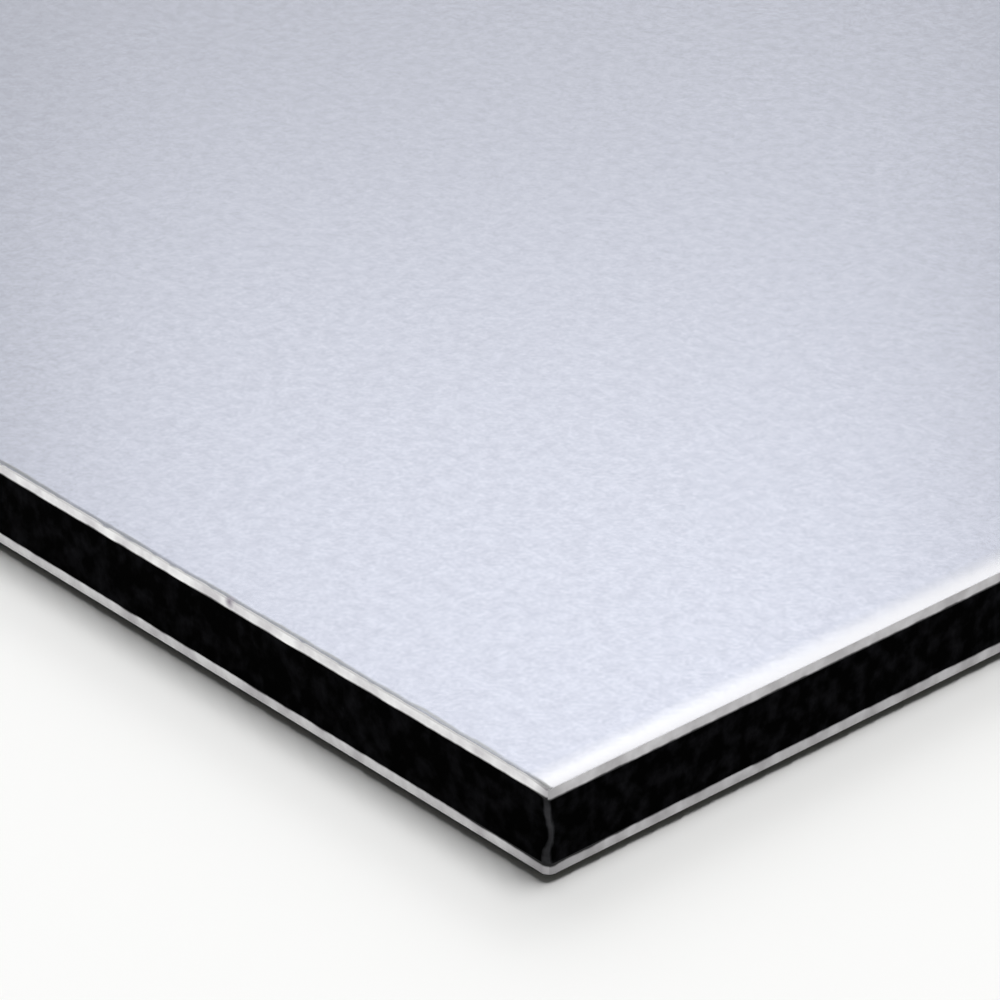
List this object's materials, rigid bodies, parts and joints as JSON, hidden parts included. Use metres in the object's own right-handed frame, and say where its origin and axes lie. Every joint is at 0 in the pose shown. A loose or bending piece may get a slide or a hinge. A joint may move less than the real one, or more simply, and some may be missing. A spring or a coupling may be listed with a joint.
{
  "type": "aluminium composite panel",
  "caption": "Flat stock sheet of aluminium composite panel: silver coil-coated aluminium skins bonded to a black polyethylene core.",
  "frame": {"origin": "middle of the underside, so the sheet lies on Z = 0", "axes": "+X along the sheet's length (the coil direction), +Y across its width, +Z through the thickness, out of the coated face"},
  "size_m": [2.44, 1.22, 0.004],
  "materials": {
    "silver_coated_skin": "satin",
    "black_core": "satin",
    "service_coated_skin": "matte"
  },
  "bodies": {
    "root": {"face_skin": "silver_coated_skin", "core": "black_core", "back_skin": "service_coated_skin"}
  },
  "joints": []
}
